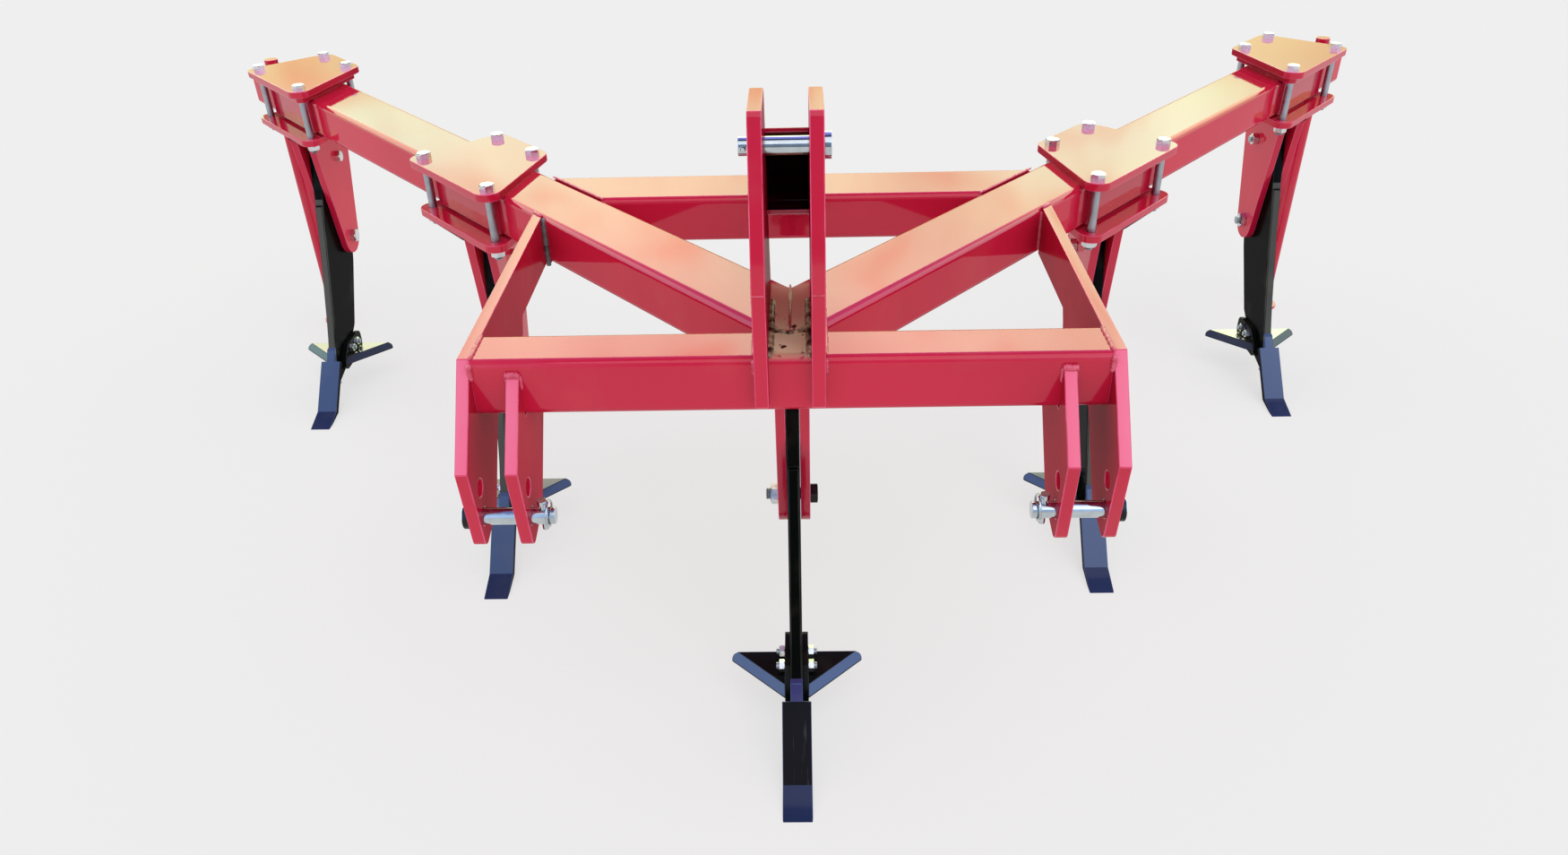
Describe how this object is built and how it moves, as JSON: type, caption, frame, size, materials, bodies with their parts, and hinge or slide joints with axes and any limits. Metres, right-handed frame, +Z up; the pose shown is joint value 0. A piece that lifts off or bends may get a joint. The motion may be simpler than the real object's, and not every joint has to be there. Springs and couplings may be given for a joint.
{
  "type": "subsoiler",
  "caption": "V-frame subsoiler for a three-point linkage: shear-bolt legs with bent points and side wings hang from a tube frame with a mast, hitch plates and parking stands.",
  "frame": {"origin": "middle of the footprint, on the ground under the points", "axes": "+X to the machine's right, seen from behind the hitch looking rearward; +Y to the rear, away from the tractor; +Z up"},
  "size_m": [2.7714, 1.8264, 1.06],
  "materials": {
    "red_paint": "gloss crimson enamel on welded tube and plate",
    "black_shank": "satin black paint",
    "blue_point": "dark blue gloss paint on hardened steel",
    "wing_steel": "blue-black gloss paint",
    "zinc_bolts": "bright zinc plate",
    "hitch_pins": "polished plated steel"
  },
  "bodies": {
    "frame": {"arm_left": "red_paint", "arm_right": "red_paint", "clamp_bolts_mid_left": "zinc_bolts", "clamp_bolts_mid_right": "zinc_bolts", "clamp_bolts_outer_left": "zinc_bolts", "clamp_bolts_outer_right": "zinc_bolts", "clamp_top_mid_left": "red_paint", "clamp_top_mid_right": "red_paint", "clamp_top_outer_left": "red_paint", "clamp_top_outer_right": "red_paint", "front_bar": "red_paint", "hitch_ear_left": "red_paint", "hitch_ear_right": "red_paint", "hitch_plate_left": "red_paint", "hitch_plate_right": "red_paint", "leg_bolts_centre": "zinc_bolts", "leg_bolts_mid_left": "zinc_bolts", "leg_bolts_mid_right": "zinc_bolts", "leg_bolts_outer_left": "zinc_bolts", "leg_bolts_outer_right": "zinc_bolts", "leg_holder_centre": "red_paint", "leg_holder_mid_left": "red_paint", "leg_holder_mid_right": "red_paint", "leg_holder_outer_left": "red_paint", "leg_holder_outer_right": "red_paint", "lower_linch_pin_left": "hitch_pins", "lower_linch_pin_right": "hitch_pins", "lower_pin_left": "hitch_pins", "lower_pin_right": "hitch_pins", "mast_plate_left": "red_paint", "mast_plate_right": "red_paint", "mast_stay": "red_paint", "rear_bar": "red_paint", "stand_sleeve_left": "red_paint", "stand_sleeve_right": "red_paint", "top_linch_pin": "hitch_pins", "top_link_pin": "hitch_pins"},
    "leg_centre": {"point_centre": "blue_point", "shank_centre": "black_shank", "shear_core_centre": "zinc_bolts", "wings_centre": "wing_steel"},
    "leg_mid_right": {"point_mid_right": "blue_point", "shank_mid_right": "black_shank", "shear_core_mid_right": "zinc_bolts", "wings_mid_right": "wing_steel"},
    "leg_mid_left": {"point_mid_left": "blue_point", "shank_mid_left": "black_shank", "shear_core_mid_left": "zinc_bolts", "wings_mid_left": "wing_steel"},
    "leg_outer_right": {"point_outer_right": "blue_point", "shank_outer_right": "black_shank", "shear_core_outer_right": "zinc_bolts", "wings_outer_right": "wing_steel"},
    "leg_outer_left": {"point_outer_left": "blue_point", "shank_outer_left": "black_shank", "shear_core_outer_left": "zinc_bolts", "wings_outer_left": "wing_steel"},
    "stand_left": {"stand_left": "red_paint"},
    "stand_right": {"stand_right": "red_paint"}
  },
  "joints": [
    {"name": "trip_centre", "type": "hinge", "parent": "frame", "child": "leg_centre", "pos_m": [0, -0.51322, 0.35], "axis": [1, 0, 0], "range_deg": [0, 70]},
    {"name": "trip_mid_right", "type": "hinge", "parent": "frame", "child": "leg_mid_right", "pos_m": [0.6, 0.02417, 0.35], "axis": [1, 0, 0], "range_deg": [0, 70]},
    {"name": "trip_mid_left", "type": "hinge", "parent": "frame", "child": "leg_mid_left", "pos_m": [-0.6, 0.02417, 0.35], "axis": [1, 0, 0], "range_deg": [0, 70]},
    {"name": "trip_outer_right", "type": "hinge", "parent": "frame", "child": "leg_outer_right", "pos_m": [1.18518, 0.66727, 0.35], "axis": [1, 0, 0], "range_deg": [0, 70]},
    {"name": "trip_outer_left", "type": "hinge", "parent": "frame", "child": "leg_outer_left", "pos_m": [-1.18518, 0.66727, 0.35], "axis": [1, 0, 0], "range_deg": [0, 70]},
    {"name": "stand_slide_left", "type": "slide", "parent": "frame", "child": "stand_left", "axis": [0, 0, 1], "range_m": [0, 0.55]},
    {"name": "stand_slide_right", "type": "slide", "parent": "frame", "child": "stand_right", "axis": [0, 0, 1], "range_m": [0, 0.55]}
  ]
}
